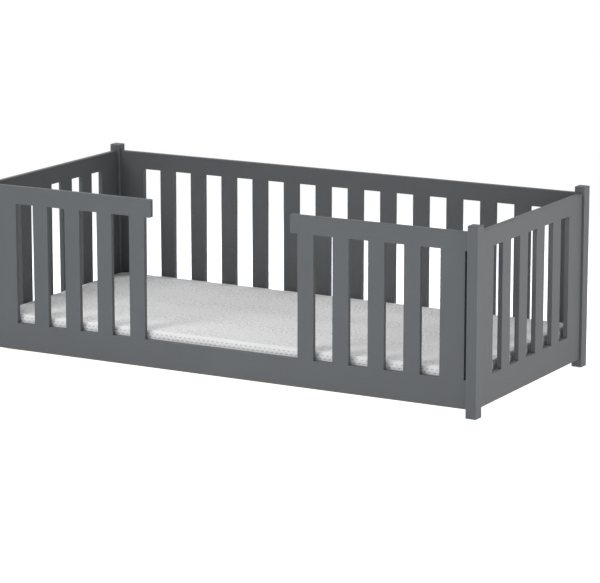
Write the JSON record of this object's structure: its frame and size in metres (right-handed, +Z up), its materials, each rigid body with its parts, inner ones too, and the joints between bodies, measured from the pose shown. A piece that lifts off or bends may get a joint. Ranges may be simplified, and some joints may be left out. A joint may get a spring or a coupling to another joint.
{
  "type": "kids bed",
  "caption": "Low floor bed for a child with slatted wooden panels on all sides, a central front entrance between two guards, a slatted base and a loose mattress.",
  "frame": {"origin": "on the floor, at the middle of the bed's footprint", "axes": "+X along the bed to the right as seen from its front, +Y from the front to the back, +Z up"},
  "size_m": [1.674, 0.76, 0.55],
  "materials": {
    "graphite_paint": "satin opaque paint",
    "bare_pine": "planed, untreated",
    "beech": "fluted dowel",
    "zinc_steel": "zinc plated",
    "cap_plastic": "matte",
    "webbing": "woven tape",
    "mattress_fabric": "textured knit top, white spacer mesh border"
  },
  "bodies": {
    "frame": {"post_front_left": "graphite_paint", "post_front_right": "graphite_paint", "post_back_left": "graphite_paint", "post_back_right": "graphite_paint", "back_top_rail": "graphite_paint", "back_bottom_rail": "graphite_paint", "back_stile_left": "graphite_paint", "back_stile_right": "graphite_paint", "back_slat_1": "graphite_paint", "back_slat_2": "graphite_paint", "back_slat_3": "graphite_paint", "back_slat_4": "graphite_paint", "back_slat_5": "graphite_paint", "back_slat_6": "graphite_paint", "back_slat_7": "graphite_paint", "back_slat_8": "graphite_paint", "back_slat_9": "graphite_paint", "back_slat_10": "graphite_paint", "back_slat_11": "graphite_paint", "back_slat_12": "graphite_paint", "front_bottom_rail": "graphite_paint", "guard_rail_left": "graphite_paint", "guard_rail_right": "graphite_paint", "guard_stile_left": "graphite_paint", "guard_stile_right": "graphite_paint", "guard_slat_left_1": "graphite_paint", "guard_slat_left_2": "graphite_paint", "guard_slat_left_3": "graphite_paint", "guard_slat_left_4": "graphite_paint", "guard_slat_right_1": "graphite_paint", "guard_slat_right_2": "graphite_paint", "guard_slat_right_3": "graphite_paint", "guard_slat_right_4": "graphite_paint", "left_top_rail": "graphite_paint", "left_bottom_rail": "graphite_paint", "left_stile_front": "graphite_paint", "left_stile_back": "graphite_paint", "left_slat_1": "graphite_paint", "left_slat_2": "graphite_paint", "left_slat_3": "graphite_paint", "left_slat_4": "graphite_paint", "right_top_rail": "graphite_paint", "right_bottom_rail": "graphite_paint", "right_stile_front": "graphite_paint", "right_stile_back": "graphite_paint", "right_slat_1": "graphite_paint", "right_slat_2": "graphite_paint", "right_slat_3": "graphite_paint", "right_slat_4": "graphite_paint", "front_ledger": "bare_pine", "back_ledger": "bare_pine", "base_slats": "bare_pine", "base_straps": "webbing", "dowels": "beech", "cam_bolts": "zinc_steel", "cams": "zinc_steel", "cam_caps": "cap_plastic", "ledger_screws": "zinc_steel", "base_screws": "zinc_steel"},
    "mattress": {"mattress": "mattress_fabric"}
  },
  "joints": [
    {"name": "mattress_lift", "type": "slide", "parent": "frame", "child": "mattress", "axis": [0, 0, 1], "range_m": [0, 0.5]}
  ]
}
